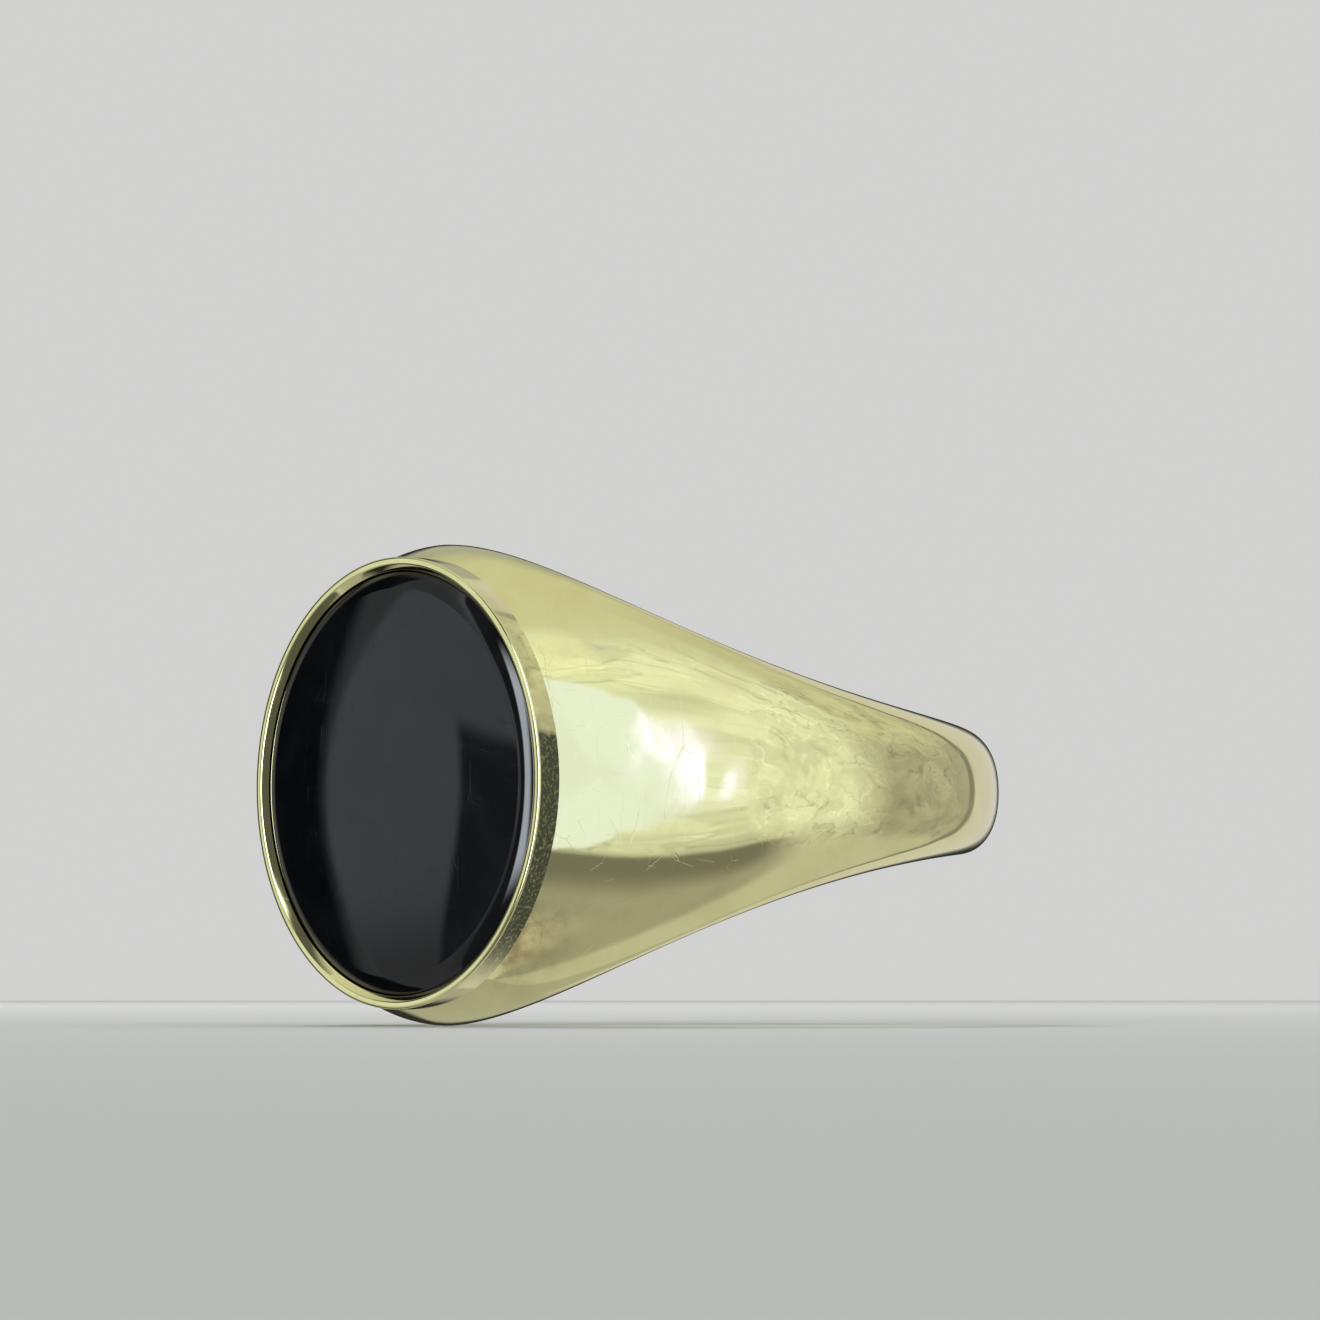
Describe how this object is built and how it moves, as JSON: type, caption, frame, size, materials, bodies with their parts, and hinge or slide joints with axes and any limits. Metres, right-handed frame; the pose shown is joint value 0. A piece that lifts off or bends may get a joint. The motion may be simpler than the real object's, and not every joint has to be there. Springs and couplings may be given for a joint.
{
  "type": "signet ring",
  "caption": "Pale yellow gold signet ring with an oval black onyx tablet in a standing bezel, lying on its side.",
  "frame": {"origin": "centre of the finger bore, half-way along it", "axes": "+Z along the finger bore, which is vertical as the ring lies on its side; the stone's face looks along -Y; X runs across the finger"},
  "size_m": [0.0224, 0.0236, 0.0148],
  "materials": {
    "gold": "polished, worn by fine scratches",
    "onyx": "polished",
    "cement": "matt"
  },
  "bodies": {
    "root": {"ring_body": "gold", "bezel_collet": "gold", "cement_bed": "cement", "onyx_tablet": "onyx"}
  },
  "joints": []
}
